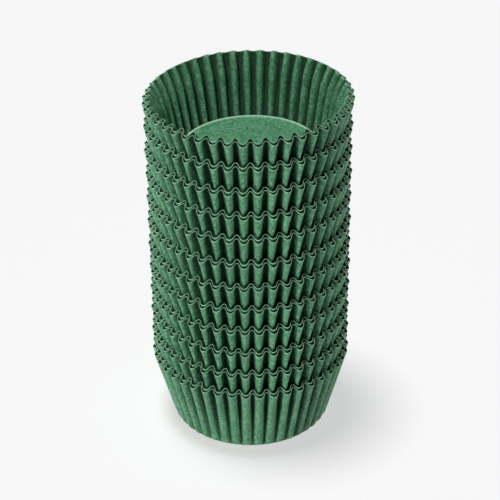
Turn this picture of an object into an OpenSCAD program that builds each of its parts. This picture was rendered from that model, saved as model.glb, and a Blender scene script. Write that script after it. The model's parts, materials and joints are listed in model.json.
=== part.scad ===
// Stack of fluted paper candy cups. Twelve pairs of thin paper cups, nested.
// Origin: centre of the foot of the lowest cup, +Z up, millimetres.
// Each pair is an outer cup and an inner cup pressed into it, floor on floor.
// The next pair drops into the flutes of the pair below until crest meets valley,
// or until its foot stands just clear of the raised floor below.

/* [Stack] */
// Number of nested pairs of cups
tier_count = 12; // [2:1:12]
// Radial play between the crests of a pair and the valleys of the next pair
seat_gap = 0.26; // [0.2:0.02:0.6]
// Least height of a foot above the raised floor of the pair below
floor_gap = 0.3; // [0.2:0.05:0.5]

/* [Cup] */
// Rim diameter of the outer cup of a pair, over the flutes
rim_d = 50; // [48:0.5:53]
// Diameter of the wall where it meets the base, outer cup
base_d = 39; // [37:0.5:40]
// Height of the outer cup, foot to rim
wall_h = 18.4; // [16:0.2:22]
// Height of the raised floor disc above the foot
floor_rise = 4.5; // [2.5:0.1:5]
// Width of the flat ring the outer cup stands on, around the recess
foot_ring_w = 1.2; // [1.1:0.1:2.4]
// How much narrower the recess is at its top than at the foot
recess_draft = 0.4; // [0.2:0.1:2]
// How much wider the sloping foot edge is than the flutes are deep there
foot_edge_extra = 0.3; // [0.3:0.05:0.4]
// Thickness of the paper
paper_t = 0.14; // [0.1:0.01:0.16]

/* [Flutes] */
// Number of flutes around each cup
flute_count = 44; // [36:1:48]
// Flute depth at the rim, outer cup
rim_depth = 2.2; // [1.8:0.1:2.4]
// Flute depth at the base
base_depth = 1.0; // [0.7:0.05:1.3]
// Half width of a valley at the rim, as a share of the flute pitch
valley_share = 0.33; // [0.28:0.01:0.38]
// Rise of the wavy rim, per millimetre from a lobe inwards to a crest
rim_scallop = 0.45; // [0.2:0.05:0.7]
// Turn of the flutes around the axis, degrees
flute_turn = 0.94; // [0:0.01:8]

/* [Inner cup of a pair] */
// How far its rim stands inside the rim of the outer cup
inner_rim_inset = 0.65; // [0.55:0.05:0.8]
// How far its base stands inside the base of the outer cup
inner_base_inset = 0.45; // [0.4:0.01:0.5]
// How far its rim stands above the rim of the outer cup
inner_rise = 0.75; // [0.4:0.05:1]
// Extra flute depth at its rim
inner_extra_depth = 0.1; // [0:0.05:0.15]

/* [Hidden] */
$fn = 88;
over = 1.2;
cups = 2 * tier_count;
function two(k) = k < 10 ? str("0", k) : str(k);

// sizes of a cup: index 0 is the outer cup of a pair, 1 is the inner one
rim_r = [rim_d / 2, rim_d / 2 - inner_rim_inset];
base_r = [base_d / 2, base_d / 2 - inner_base_inset];
cup_h = [wall_h, wall_h + inner_rise - paper_t];
depth = [rim_depth, rim_depth + inner_extra_depth];
foot_edge = base_depth + foot_edge_extra;
recess_foot_r = base_r[0] - foot_edge - foot_ring_w;
recess_r = [recess_foot_r, recess_foot_r + 2 * paper_t];
half_w = [for (j = [0, 1]) valley_share * 2 * PI * rim_r[j] / flute_count];
valley_a = [for (j = [0, 1]) atan(half_w[j] / depth[j])];
// radius of the valley line at the foot and at the rim, and its slope
foot_v = [for (j = [0, 1]) base_r[j] - base_depth];
rim_v = [for (j = [0, 1]) rim_r[j] - depth[j]];
slope_v = [for (j = [0, 1]) (rim_v[j] - foot_v[j]) / cup_h[j]];
// radial shift that gives a valley wall of one paper thickness
shift_v = [for (j = [0, 1]) paper_t / sin(valley_a[j])];
// height at which the next pair's valley meets this pair's inner crest
meet_z = (rim_v[1] - shift_v[1] - seat_gap - foot_v[0]) / slope_v[0];
seated_pitch = paper_t + cup_h[1] - meet_z;
// a wide open pair drops no further than its foot allows
tier_pitch = max(seated_pitch, floor_rise + 2 * paper_t + floor_gap);

// unit direction, left normal and mitred offset of a profile line
function dir(a, b) = (b - a) / norm(b - a);
function left(u) = [-u[1], u[0]];
function mitre(n1, n2) = (n1 + n2) / (1 + n1 * n2);
function nrm(p, i) = left(dir(p[i], p[i + 1]));
function slope_w(j) = (rim_r[j] - base_r[j]) / cup_h[j];
// the rim is cut by a cone, so the crests of the flutes stand higher than the lobes
function cone_tip(j) = cup_h[j] + rim_scallop * rim_r[j];

// underside and outside of a cup, from the axis to the rim
function skin(j) = [
  [0, floor_rise - paper_t],
  [recess_r[j] - recess_draft, floor_rise - paper_t],
  [recess_r[j], 0],
  [base_r[j] - foot_edge, 0],
  [base_r[j] + slope_w(j) * foot_edge, foot_edge],
  [rim_r[j], cup_h[j]]
];
// the same line one paper thickness inwards
function lining(j) = let (p = skin(j)) [
  [0, floor_rise],
  for (i = [1:4]) p[i] + paper_t * mitre(nrm(p, i - 1), nrm(p, i)),
  p[5] + paper_t * nrm(p, 4) + over * dir(p[4], p[5])
];

// one valley: a V prism whose bottom line follows the valley line
module valley(j, shift) {
  lean = atan(slope_v[j]);
  reach = depth[j] + 3;
  translate([foot_v[j] - shift, 0, 0])
    rotate([0, lean, 0])
      translate([0, 0, -3])
        linear_extrude(height = cup_h[j] + 9)
          polygon([[0, 0], [reach, reach * tan(valley_a[j])], [reach, -reach * tan(valley_a[j])]]);
}

module valleys(j, shift) {
  for (i = [0:flute_count - 1])
    rotate(-90 + flute_turn + i * 360 / flute_count)
      valley(j, shift);
}

module outside(j) {
  difference() {
    rotate_extrude() polygon(concat(skin(j), [[0, cone_tip(j)]]));
    valleys(j, 0);
  }
}

module inside(j) {
  difference() {
    rotate_extrude() polygon(concat(lining(j), [[0, cone_tip(j) + over]]));
    valleys(j, shift_v[j]);
  }
}

module paper_cup(j) {
  color([0.30, 0.52, 0.38])
    difference() {
      outside(j);
      inside(j);
    }
}

// cup k counts from the bottom: odd ones are outer cups, even ones inner cups
module stacked_cup(k) {
  j = (k + 1) % 2;
  tier = floor((k - 1) / 2);
  translate([0, 0, tier * tier_pitch + j * paper_t])
    paper_cup(j);
}

for (k = [1:cups])
  stacked_cup(k);
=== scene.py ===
import json
import math
import random

import bpy
import numpy as np
from mathutils import Matrix, Vector

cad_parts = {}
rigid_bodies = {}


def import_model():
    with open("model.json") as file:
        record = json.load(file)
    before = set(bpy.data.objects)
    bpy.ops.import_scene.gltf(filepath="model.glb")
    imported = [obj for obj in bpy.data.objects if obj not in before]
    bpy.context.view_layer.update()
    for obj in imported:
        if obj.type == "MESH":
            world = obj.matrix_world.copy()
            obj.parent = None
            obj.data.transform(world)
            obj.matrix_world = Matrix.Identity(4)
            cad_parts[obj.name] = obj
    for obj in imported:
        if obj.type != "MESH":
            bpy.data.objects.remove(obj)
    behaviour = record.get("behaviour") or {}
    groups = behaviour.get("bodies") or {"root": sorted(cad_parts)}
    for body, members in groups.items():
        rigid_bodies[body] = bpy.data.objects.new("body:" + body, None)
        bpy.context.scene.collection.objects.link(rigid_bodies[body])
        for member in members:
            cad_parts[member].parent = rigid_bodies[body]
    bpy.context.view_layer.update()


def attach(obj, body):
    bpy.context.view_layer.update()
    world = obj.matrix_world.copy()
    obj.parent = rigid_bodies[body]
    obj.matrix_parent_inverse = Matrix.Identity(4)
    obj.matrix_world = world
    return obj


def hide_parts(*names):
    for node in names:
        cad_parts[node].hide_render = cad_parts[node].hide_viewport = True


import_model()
MM = 0.001

# Sizes in millimetres. Where there are two, they are for the outer and the inner cup of a pair.
FLUTES = 44
FLUTE_TURN = 0.94                                  # degrees, the same as in the solids
LOBE_TURN = math.radians(-90 + FLUTE_TURN + 180.0 / FLUTES)
TIERS = 12
PITCH = 6.414
PAPER = 0.12
INNER_LIFT = 0.14                                  # of an inner cup above its outer cup
RISE = 4.5                                         # of the floor disc above the foot
RIM_R = (25.25, 24.6)
BASE_R = (19.8, 19.35)
WALL_H = (18.4, 18.85)
FOOT_R = (17.35, 17.5)
FLOOR_R = (16.85, 17.0)
EDGE_ROUNDING = 0.7                                # between foot ring and wall
DEPTH_BASE = (1.00, 0.95)                          # flute depth above the foot edge
DEPTH_MID = (2.15, 2.05)                           # at MID_SHARE of the wall height
DEPTH_RIM = (1.35, 1.15)                           # at the rim
MID_SHARE = 0.73
OPEN_BAND = 5.0                                    # the lobes open wide this near to the rim
RIM_WAVE = (0.76, 0.84)                            # the folds stand above the lobes
WAVE_START = 0.30                                  # share of the height where the wave begins
FADE_START, FADE_HEIGHT = 0.02, 1.0                # the flutes fade in above the foot edge
FOOT_SHADE_H = 0.6                                 # height of the painted shade at the foot ring
RISER_PLEAT = 0.05                                 # in radius, faint pleats below the disc
TIP_IN = 0.08                                      # the riser ends this far inside the foot ring

# How far each tier sits above or below the even pitch
SETTLE = (0.0, 0.0, 0.0, -0.12, -0.18, -0.32, -0.17, 0.03, 0.0, 0.12, 0.15, 0.06)

# Width of the lobes: at the foot, less what goes up to MID_SHARE, plus what comes at the rim
LOBE_FORM = (0.36, 0.58, 0.52)
LOW_LOBE_FORM = (0.42, 0.12, 0.06)
LOBE_PEAK = (0.12, 0.02)                           # all the way up, and what comes at the rim

# The lowest pair is a little taller, wider at the base and less deep half way up
LOW_TALLER = 1.018
LOW_WIDER = 0.25
LOW_SHALLOWER = 0.50

# Each pair but the lowest leans by up to LEAN degrees about X and about Y, and sits up to
# OFF_AXIS off the axis along each
LEAN = 0.25
OFF_AXIS = 0.04
LEAN_PIVOT = 12.0                                  # above the even place of the tier's foot
# The top pair is free: it leans, shifts and springs open above TOP_FLARE_FROM
TOP_LEAN = (-0.4, -0.8)
TOP_SHIFT = (0.2, 0.0, 0.0)
TOP_FLARE = 0.008                                  # share of the radius, for each 10 mm
TOP_FLARE_FROM = 8

# Points along the paper from the foot ring to the rim, as shares of its length
FINE_ROWS = np.concatenate([
    np.linspace(0, 0.20, 9),
    np.linspace(0.25, 0.90, 10),
    [0.93, 0.955, 0.975, 0.988, 1.0],
])
PLAIN_ROWS = np.array([0, 0.06, 0.16, 0.36, 0.54, 0.65, 0.76, 0.87, 0.95, 0.985, 1.0])
# Rings of the floor disc, as shares of its radius
FINE_RINGS = (0.86, 0.66, 0.44, 0.22)
PLAIN_RINGS = (0.6,)
# Columns of the wall's points, for each flute and for each point of a disc ring
FINE_COLUMNS, PLAIN_COLUMNS = 16, 12
FINE_STEP, PLAIN_STEP = 8, 12

# Random seeds. A cup or tier adds its own number to these,
SEED_SHIFT, SEED_DEPTH, SEED_RIM = 100, 200, 300
SEED_WOBBLE, SEED_DISC, SEED_CREASE = 400, 500, 600
SEED_LEAN, SEED_PAPER = 700, 900
# and all cups share these
SEED_ALL_SHIFT, SEED_ALL_DEPTH, SEED_ALL_WOBBLE = 11, 12, 41
# Size of the random differences. Where there are two, the first is shared by all cups and
# the second is a cup's own.
SHIFT_AMP = (0.030, 0.006)                         # in flutes
DEPTH_AMP = (0.050, 0.030)                         # share of the flute depth
WOBBLE_AMP = (0.10, 0.045)                         # in radius at the rim
RIM_AMP = 0.05                                     # in height at the rim
CREASE_AMP = 0.016                                 # in radius, from column to column
RIPPLE_AMP = 0.05                                  # in height of the floor disc


def noise_table(n, seed, amp, smooth=1):
    """One smoothed random value for each flute or column."""
    rnd = random.Random(seed)
    v = np.array([rnd.gauss(0, 1) for _ in range(n)])
    for _ in range(smooth):
        v = (v + np.roll(v, 1) * 0.5 + np.roll(v, -1) * 0.5) / 1.6
    v = np.clip(v, -2.2, 2.2)
    return v * amp


def soft_step(x):
    return x * x * (3 - 2 * x)


def sample(table, x):
    """Smooth periodic sampling of a per-flute table at flute coordinate x."""
    n = len(table)
    i = np.floor(x).astype(int)
    f = soft_step(x - i)
    return table[i % n] * (1 - f) + table[(i + 1) % n] * f


def low_wave(theta, seed, amp):
    """A slow random wave around the axis."""
    rnd = random.Random(seed)
    out = np.zeros_like(theta)
    for m in (2, 3, 4, 5):
        out += rnd.uniform(0.4, 1.0) / m * np.cos(m * theta + rnd.uniform(0, 6.28))
    return out * amp


def wall_line(foot_r, corner, rim_r, rim_z, radius):
    """Foot ring, rounded edge and straight wall, by arc length.

    Gives a function from distance to (r, z), and the whole length.
    """
    slope = math.atan2(rim_z, rim_r - corner)
    tangent = radius * math.tan(slope / 2)
    flat = max(corner - tangent - foot_r, 0.0)
    arc = radius * slope
    wall = math.hypot(rim_r - corner, rim_z) - tangent
    total = flat + arc + wall

    def at(s):
        s = np.asarray(s, dtype=float)
        turned = np.clip((s - flat) / radius, 0, slope)
        up = np.clip(s - flat - arc, 0, None)
        r = foot_r + np.minimum(s, flat) + radius * np.sin(turned) + up * math.cos(slope)
        z = radius * (1 - np.cos(turned)) + up * math.sin(slope)
        return r, z

    return at, total


ALL_SHIFT = noise_table(FLUTES, SEED_ALL_SHIFT, SHIFT_AMP[0])
ALL_DEPTH = noise_table(FLUTES, SEED_ALL_DEPTH, DEPTH_AMP[0])


def cup_surface(kind, k, per_flute, rows):
    """Outer skin of cup k's wall.

    Gives its points (row, column, 3) from foot to rim, how near each is to the ridge
    of its lobe, and how strong the painted shade at the foot ring is in each row.
    """
    cols = FLUTES * per_flute
    u = np.arange(cols) / per_flute                # flute coordinate
    local = 2 * math.pi * (u - np.floor(u))
    theta = 2 * math.pi * u / FLUTES
    lowest = k < 3
    shift = sample(ALL_SHIFT, u) + sample(noise_table(FLUTES, SEED_SHIFT + k, SHIFT_AMP[1]), u)
    deep = 1 + sample(ALL_DEPTH, u) + sample(noise_table(FLUTES, SEED_DEPTH + k, DEPTH_AMP[1]), u)
    rim_jitter = sample(noise_table(FLUTES, SEED_RIM + k, RIM_AMP, 2), u)
    wobble = low_wave(theta, SEED_ALL_WOBBLE, WOBBLE_AMP[0])
    wobble += low_wave(theta, SEED_WOBBLE + k, WOBBLE_AMP[1])
    crease = noise_table(cols, SEED_CREASE + k, CREASE_AMP)
    taller = LOW_TALLER if lowest else 1.0
    wider = LOW_WIDER if lowest else 0.0
    # the lowest pair, pressed by nothing below, keeps broad even lobes
    at_foot, lost, at_rim = LOW_LOBE_FORM if lowest else LOBE_FORM
    line, total = wall_line(FOOT_R[kind], BASE_R[kind], RIM_R[kind], WALL_H[kind], EDGE_ROUNDING)
    points = np.zeros((len(rows), cols, 3))
    lobes = np.zeros((len(rows), cols))
    foot = np.zeros((len(rows), 1))
    for i, t in enumerate(rows):
        line_r, line_z = line(t * total)
        h = line_z / WALL_H[kind]
        mid = min(1.0, h / MID_SHARE)
        # the lobes narrow from the foot up to MID_SHARE and open again within OPEN_BAND of the rim
        wide = max(0.0, (line_z - (WALL_H[kind] - OPEN_BAND)) / OPEN_BAND)
        beta = at_foot - lost * mid + at_rim * wide
        gamma = LOBE_PEAK[0] + LOBE_PEAK[1] * wide
        angle = theta + (beta * np.sin(local) + gamma * np.sin(2 * local)) / FLUTES
        ridge = 0.5 + 0.5 * np.cos(local)
        grow = max(0.0, (h - WAVE_START) / (1 - WAVE_START))
        fade = soft_step(min(1.0, max(0.0, (line_z - FADE_START) / FADE_HEIGHT)))
        depth = DEPTH_BASE[kind] + (DEPTH_MID[kind] - DEPTH_BASE[kind]) * mid
        depth += (DEPTH_RIM[kind] - DEPTH_MID[kind]) * wide * wide
        if lowest:
            depth -= LOW_SHALLOWER * math.sin(math.pi * h)
        depth = depth * fade * (1 + (deep - 1) * h)
        r = line_r + wider * (1 - h) * fade - depth * (1 - ridge) + wobble * grow + crease * fade
        z = line_z * taller + RIM_WAVE[kind] * (1 - ridge) * grow + rim_jitter * grow * grow
        around = LOBE_TURN + angle + shift * 2 * math.pi / FLUTES * grow
        points[i, :, 0] = r * np.cos(around)
        points[i, :, 1] = r * np.sin(around)
        points[i, :, 2] = z
        lobes[i] = ridge
        # painted shade at the turn into the foot ring, fading out FOOT_SHADE_H above the foot
        foot[i] = max(0.0, 1 - line_z / FOOT_SHADE_H)
    return points, lobes, foot


def riser_line(kind, fine):
    """Edge of the floor disc, riser and turn into the foot ring, from the disc outwards."""
    disc_r, foot_r = FLOOR_R[kind], FOOT_R[kind]
    turn, tip = (disc_r + 0.06, RISE - 0.3), (foot_r - TIP_IN, 0.35)
    if not fine:
        return [(disc_r - 0.45, RISE), (disc_r - 0.06, RISE - 0.03), turn, tip]
    # a crisp pressed bead around the disc
    bead = [(disc_r - 0.75, RISE - 0.02), (disc_r - 0.60, RISE + 0.03)]
    bead += [(disc_r - 0.32, RISE + 0.30), (disc_r - 0.06, RISE + 0.28)]
    half_way = (disc_r + (foot_r - disc_r) * 0.5, RISE * 0.5)
    return bead + [turn, half_way, tip]


def riser_surface(kind, fine, around):
    """Outer skin of the riser, with faint pleats below the disc."""
    pleat = np.cos(FLUTES * (around - LOBE_TURN))
    rings = []
    for r, z in riser_line(kind, fine):
        pleated = r + (RISER_PLEAT * pleat if z < RISE - 0.5 else 0)
        ring = [pleated * np.cos(around), pleated * np.sin(around), np.full(len(around), z)]
        rings.append(np.stack(ring, axis=1))
    return np.array(rings)


def normals(grid):
    """Unit normals of a grid of points. They point outwards and down."""
    du = np.roll(grid, -1, axis=1) - np.roll(grid, 1, axis=1)
    dv = np.zeros_like(grid)
    dv[1:-1] = grid[2:] - grid[:-2]
    dv[0] = grid[1] - grid[0]
    dv[-1] = grid[-1] - grid[-2]
    n = np.cross(du, dv)
    n /= np.maximum(np.linalg.norm(n, axis=2, keepdims=True), 1e-9)
    return n


def sheet_faces(rows, cols):
    """Quads of both skins, and of the cut edge that joins them at the rim."""
    here = np.arange(cols)
    beside = (here + 1) % cols
    inside = rows * cols
    faces = []
    for i in range(rows - 1):
        low, up = i * cols, (i + 1) * cols
        outer = [low + here, low + beside, up + beside, up + here]
        inner = [inside + low + here, inside + up + here, inside + up + beside, inside + low + beside]
        faces += np.stack(outer, 1).tolist()
        faces += np.stack(inner, 1).tolist()
    rim = (rows - 1) * cols
    cut = [rim + here, rim + beside, inside + rim + beside, inside + rim + here]
    return faces + np.stack(cut, 1).tolist()


def disc_points(kind, k, fine, angle, height):
    """One side of the floor disc: its rings, and its centre last."""
    points = []
    for q, share in enumerate(FINE_RINGS if fine else PLAIN_RINGS):
        r = FLOOR_R[kind] * share
        ripple = low_wave(angle, SEED_DISC + k + q, RIPPLE_AMP)
        points.append(np.stack([r * np.cos(angle), r * np.sin(angle), height + ripple], axis=1))
    points.append(np.array([[0, 0, height]]))
    return points


def disc_faces(border, first, cols, step, rings):
    """Faces of one side of the disc, whose rings have one point for each step columns."""
    coarse = cols // step
    half = step // 2
    last = first + (rings - 1) * coarse
    centre = first + rings * coarse
    faces = []
    for here in range(coarse):
        beside = (here + 1) % coarse
        fan = [border + (here * step + m) % cols for m in range(step + 1)]
        for m in range(step):
            faces.append([fan[m], first + (here if m < half else beside), fan[m + 1]])
        faces.append([fan[half], first + here, first + beside])
        for q in range(rings - 1):
            outer, inner = first + q * coarse, first + (q + 1) * coarse
            faces.append([outer + here, inner + here, inner + beside, outer + beside])
        faces.append([last + here, centre, last + beside])
    return faces


def put_in_place(v, tier, foot_z):
    """Lift the points to their tier, where each pair leans and sits a little off the axis."""
    v[:, 2] += foot_z
    rnd = random.Random(SEED_LEAN + tier)
    lean_x = rnd.uniform(-LEAN, LEAN) if tier else 0
    lean_y = rnd.uniform(-LEAN, LEAN) if tier else 0
    off = np.array([rnd.uniform(-OFF_AXIS, OFF_AXIS), rnd.uniform(-OFF_AXIS, OFF_AXIS), 0])
    off = off * (1 if tier else 0)
    if tier == TIERS - 1:
        flare = 1 + TOP_FLARE * np.clip(v[:, 2] - foot_z - TOP_FLARE_FROM, 0, None) / 10
        v[:, :2] *= flare[:, None]
        lean_x, lean_y = TOP_LEAN
        off = np.array(TOP_SHIFT)
    lean = Matrix.Rotation(math.radians(lean_x), 3, "X") @ Matrix.Rotation(math.radians(lean_y), 3, "Y")
    pivot = np.array([0, 0, tier * PITCH + LEAN_PIVOT])
    return (v - pivot) @ np.array(lean).T + pivot + off


def point_attribute(mesh, name, values):
    attribute = mesh.attributes.new(name, "FLOAT", "POINT")
    attribute.data.foreach_set("value", values.astype(np.float32))


def painted_edge_highlight_share(count, inside, rows, cols, fine):
    """Painted highlight: 1 at the cut edge of the rim, 2.2 on the bead around the disc, 0 elsewhere."""
    share = np.zeros(count)
    share[(rows - 1) * cols:rows * cols] = 1.0
    share[inside + (rows - 1) * cols:inside + rows * cols] = 1.0
    if fine:
        share[inside + 2 * cols:inside + 4 * cols] = 2.2
    return share


def painted_fold_shade(count, inside, rows, cols, lobes, foot, lowest):
    """Painted shade in the folds: how deep each point lies in them, seen from its own side of the
    paper.
    """
    share = np.zeros(count)
    wall_rows = len(lobes)
    first = (rows - wall_rows) * cols
    up = np.arange(wall_rows) / (wall_rows - 1)
    # painted shade: on the outer skin it is strongest deep in the grooves and weaker low on the wall,
    # on the inner skin it lies behind the lobes
    gain = np.clip(0.55 + 0.45 * (up - 0.35) / 0.3, 0.55, 1.0)[:, None]
    groove_shade = (1.0 - lobes) ** (1.5 if lowest else 1.2) * gain
    # painted shade: the turn into the foot ring is darkened nearly as much as the deepest grooves
    share[first:inside] = np.maximum(groove_shade, 0.75 * foot).ravel()
    share[inside + first:2 * inside] = (lobes ** 0.8).ravel()
    return share


def build_cup(name, k, fine):
    """Cup k as one closed sheet of paper, counted from 1 at the bottom."""
    kind = (k + 1) % 2
    tier = (k - 1) // 2
    per_flute = FINE_COLUMNS if fine else PLAIN_COLUMNS
    wall, lobes, foot = cup_surface(kind, k, per_flute, FINE_ROWS if fine else PLAIN_ROWS)
    cols = wall.shape[1]
    around = np.arctan2(wall[0, :, 1], wall[0, :, 0])
    outer = np.concatenate([riser_surface(kind, fine, around), wall], axis=0)
    inner = outer - normals(outer) * PAPER
    rows = outer.shape[0]
    inside = rows * cols
    verts = [outer.reshape(-1, 3), inner.reshape(-1, 3)]
    faces = sheet_faces(rows, cols)
    # the floor disc has coarser rings, on both sides of the paper
    step = FINE_STEP if fine else PLAIN_STEP
    rings = len(FINE_RINGS if fine else PLAIN_RINGS)
    first = 2 * inside
    for side in (0, 1):
        verts += disc_points(kind, k, fine, around[::step], RISE + side * PAPER)
        disc = disc_faces(side * inside, first, cols, step, rings)
        faces += disc if side == 0 else [face[::-1] for face in disc]
        first += rings * (cols // step) + 1
    foot_z = tier * PITCH + kind * INNER_LIFT + SETTLE[tier]
    v = put_in_place(np.concatenate(verts, axis=0), tier, foot_z)
    mesh = bpy.data.meshes.new(name)
    mesh.from_pydata((v * MM).tolist(), [], faces)
    mesh.validate()
    mesh.update()
    mesh.polygons.foreach_set("use_smooth", [True] * len(mesh.polygons))
    count = len(mesh.vertices)
    point_attribute(mesh, "painted_edge_highlight", painted_edge_highlight_share(count, inside, rows, cols, fine))
    point_attribute(mesh, "fold_shade", painted_fold_shade(count, inside, rows, cols, lobes, foot, k < 3))
    obj = bpy.data.objects.new(name, mesh)
    bpy.context.scene.collection.objects.link(obj)
    return obj


# Dyed greaseproof paper. The colours are linear.
BASE_GREEN = (0.049, 0.172, 0.084)
LIGHT_GREEN = (0.070, 0.218, 0.112)
DARK_GREEN = (0.023, 0.102, 0.043)
PALE_GREEN = (0.160, 0.315, 0.205)
# painted shade, laid into the folds and the turn into the foot ring
FOLD_SHADE_GREEN = (0.002, 0.020, 0.006, 1)
# painted highlights on the rim's cut edge and on the bead around the disc
CUT_EDGE_HIGHLIGHT_GREEN = (0.20, 0.36, 0.24, 1)
BEAD_HIGHLIGHT_GREEN = (0.40, 0.60, 0.45, 1)
TINTS = (1.0, 0.96, 1.04)


def paper_material(name, tint):
    material = bpy.data.materials.new(name)
    material.use_nodes = True
    nodes, links = material.node_tree.nodes, material.node_tree.links
    shader = nodes["Principled BSDF"]
    shader.inputs["Specular IOR Level"].default_value = 0.3
    coordinates = nodes.new("ShaderNodeTexCoord")

    def noise(scale, detail, rough):
        node = nodes.new("ShaderNodeTexNoise")
        node.inputs["Scale"].default_value = scale
        node.inputs["Detail"].default_value = detail
        node.inputs["Roughness"].default_value = rough
        links.new(coordinates.outputs["Object"], node.inputs["Vector"])
        return node.outputs["Fac"]

    def attribute(attribute_name):
        node = nodes.new("ShaderNodeAttribute")
        node.attribute_name = attribute_name
        return node.outputs["Fac"]

    def ramp(source, low, high, to_low, to_high):
        node = nodes.new("ShaderNodeMapRange")
        node.inputs["From Min"].default_value = low
        node.inputs["From Max"].default_value = high
        node.inputs["To Min"].default_value = to_low
        node.inputs["To Max"].default_value = to_high
        links.new(source, node.inputs["Value"])
        return node.outputs["Result"]

    def mix(factor, first, second):
        node = nodes.new("ShaderNodeMix")
        node.data_type = "RGBA"
        node.clamp_factor = True
        links.new(factor, node.inputs["Factor"])
        for socket, value in ((node.inputs[6], first), (node.inputs[7], second)):
            if isinstance(value, tuple):
                socket.default_value = value
            else:
                links.new(value, socket)
        return node.outputs[2]

    def bump(height, strength, distance):
        node = nodes.new("ShaderNodeBump")
        node.inputs["Strength"].default_value = strength
        node.inputs["Distance"].default_value = distance
        links.new(height, node.inputs["Height"])
        return node

    def tinted(colour):
        return tuple(c * tint for c in colour) + (1,)

    cloud = noise(330, 4, 0.6)                     # blotches of about 3 mm
    mottle = noise(850, 3, 0.6)                    # and about 1 mm
    fibre = noise(1500, 3, 0.65)                   # fibres under 1 mm
    dark = tinted(DARK_GREEN)
    colour = mix(ramp(cloud, 0.42, 0.60, 0.0, 1.0), tinted(BASE_GREEN), tinted(LIGHT_GREEN))
    colour = mix(ramp(mottle, 0.40, 0.52, 0.55, 0.0), colour, dark)
    colour = mix(ramp(fibre, 0.38, 0.50, 0.70, 0.0), colour, dark)
    colour = mix(ramp(fibre, 0.50, 0.64, 0.0, 0.60), colour, tinted(PALE_GREEN))
    # painted shade in the folds, nearly black where they are deepest
    fold_shade = attribute("fold_shade")
    colour = mix(ramp(fold_shade, 0.20, 0.80, 0.0, 0.92), colour, FOLD_SHADE_GREEN)
    links.new(ramp(fold_shade, 0.1, 0.6, 0.40, 1.0), shader.inputs["Roughness"])
    # painted highlights: paler along the rim's cut edge and much paler on the bead around the disc
    painted_edge_highlight = attribute("painted_edge_highlight")
    colour = mix(ramp(painted_edge_highlight, 0.0, 1.0, 0.0, 0.36), colour, CUT_EDGE_HIGHLIGHT_GREEN)
    colour = mix(ramp(painted_edge_highlight, 1.2, 2.0, 0.0, 0.65), colour, BEAD_HIGHLIGHT_GREEN)
    links.new(colour, shader.inputs["Base Color"])
    fine_bump = bump(fibre, 0.3, 0.00008)
    broad_bump = bump(cloud, 0.3, 0.00025)
    links.new(fine_bump.outputs["Normal"], broad_bump.inputs["Normal"])
    links.new(broad_bump.outputs["Normal"], shader.inputs["Normal"])
    return material


PAPERS = [paper_material("green_paper_%d" % i, tint) for i, tint in enumerate(TINTS)]

for k in range(1, 2 * TIERS + 1):
    node = "cup_%02d" % k
    piece = build_cup("paper_" + node, k, k in (1, 2 * TIERS))
    piece.data.materials.append(PAPERS[random.Random(SEED_PAPER + k).randrange(3)])
    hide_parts(node)
    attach(piece, "root")

# Stage, in metres
FLOOR_HALF = 6.0
FLOOR_GREY = (0.56, 0.56, 0.56, 1)
FLOOR_WHITE = 0.59                                 # strength of the white that the camera sees
ROOM_LIGHT = 0.01
WHITE = (1, 1, 1, 1)


def floor_material():
    material = bpy.data.materials.new("pale_ground")
    material.use_nodes = True
    nodes, links = material.node_tree.nodes, material.node_tree.links
    shader = nodes["Principled BSDF"]
    shader.inputs["Base Color"].default_value = FLOOR_GREY
    shader.inputs["Roughness"].default_value = 1.0
    shader.inputs["Specular IOR Level"].default_value = 0.0
    shader.inputs["Emission Color"].default_value = WHITE
    # the white share of the ground is shown to these rays only, so it lights nothing
    light_path = nodes.new("ShaderNodeLightPath")
    seen = light_path.outputs["Is Camera Ray"]
    for ray in ("Is Glossy Ray", "Is Transmission Ray"):
        either = nodes.new("ShaderNodeMath")
        either.operation = "MAXIMUM"
        links.new(seen, either.inputs[0])
        links.new(light_path.outputs[ray], either.inputs[1])
        seen = either.outputs[0]
    share = nodes.new("ShaderNodeMath")
    share.operation = "MULTIPLY"
    share.inputs[1].default_value = FLOOR_WHITE
    links.new(seen, share.inputs[0])
    links.new(share.outputs[0], shader.inputs["Emission Strength"])
    return material


floor_corners = [(x * FLOOR_HALF, y * FLOOR_HALF, 0) for x, y in ((-1, -1), (1, -1), (1, 1), (-1, 1))]
floor_mesh = bpy.data.meshes.new("floor")
floor_mesh.from_pydata(floor_corners, [], [(0, 1, 2, 3)])
floor = bpy.data.objects.new("floor", floor_mesh)
bpy.context.scene.collection.objects.link(floor)
floor.data.materials.append(floor_material())

world = bpy.data.worlds.new("soft_room")
bpy.context.scene.world = world
world.use_nodes = True
background = world.node_tree.nodes["Background"]
background.inputs["Color"].default_value = WHITE
background.inputs["Strength"].default_value = ROOM_LIGHT

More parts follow.
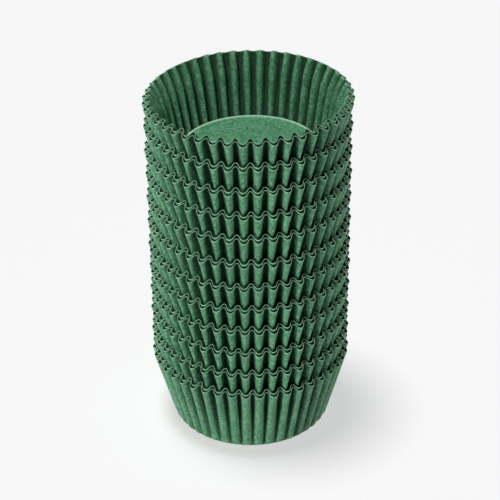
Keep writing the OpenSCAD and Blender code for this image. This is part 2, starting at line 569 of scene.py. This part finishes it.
# Lights: name, azimuth, elevation and width in degrees, and strength. Azimuth is from the
# viewer's side (-Y), positive to the viewer's right.
PAPER_LIGHTS = (
    ("key_light", -56, -4, 14, 3.55),
    ("fill_light", 58, -4, 14, 1.9),
    ("rear_left_light", -146, -4, 14, 3.2),
    ("rear_right_light", 146, -4, 14, 2.4),
    ("top_light", -30, 65, 14, 4.35),
)
GROUND_LIGHT = ("ground_light", -110, 83, 15, 1.88)


def sun(name, azimuth, elevation, width, strength):
    light = bpy.data.lights.new(name, "SUN")
    light.energy = strength
    light.angle = math.radians(width)
    lamp = bpy.data.objects.new(name, light)
    bpy.context.scene.collection.objects.link(lamp)
    a, e = math.radians(azimuth), math.radians(elevation)
    source = Vector((math.sin(a) * math.cos(e), -math.cos(a) * math.cos(e), math.sin(e)))
    lamp.rotation_euler = source.to_track_quat("Z", "Y").to_euler()
    return lamp


# The paper and the ground have their own lights, so the ground keeps one soft shadow
lit_paper = bpy.data.collections.new("lit_paper")
for o in bpy.data.objects:
    if o.name.startswith("paper_cup"):
        lit_paper.objects.link(o)
for values in PAPER_LIGHTS:
    lamp = sun(*values)
    lamp.light_linking.receiver_collection = lit_paper
    lamp.light_linking.blocker_collection = lit_paper
lit_ground = bpy.data.collections.new("lit_ground")
lit_ground.objects.link(floor)
sun(*GROUND_LIGHT).light_linking.receiver_collection = lit_ground

# Camera, fitted to the photograph. Lengths are in metres and angles in degrees.
PHOTO_PX = 500.0
FOCAL_PX = 1792.3
SENSOR_MM = 36.0
ELEVATION = 31.693
ROLL = -0.62
LOOK_AT = (0.00008, 0, 0.04636)
DISTANCE = 0.44849

lens = bpy.data.cameras.new("camera")
lens.sensor_width = SENSOR_MM
lens.lens = FOCAL_PX / PHOTO_PX * SENSOR_MM
lens.clip_start = 0.01
camera = bpy.data.objects.new("camera", lens)
bpy.context.scene.collection.objects.link(camera)
elevation = math.radians(ELEVATION)
forward = Vector((0, math.cos(elevation), -math.sin(elevation)))
camera.location = Vector(LOOK_AT) - forward * DISTANCE
aim = forward.to_track_quat("-Z", "Y").to_matrix().to_4x4()
roll = Matrix.Rotation(math.radians(ROLL), 4, "Z")
camera.matrix_world = Matrix.Translation(camera.location) @ aim @ roll
bpy.context.scene.camera = camera

bpy.context.scene.view_settings.view_transform = "Standard"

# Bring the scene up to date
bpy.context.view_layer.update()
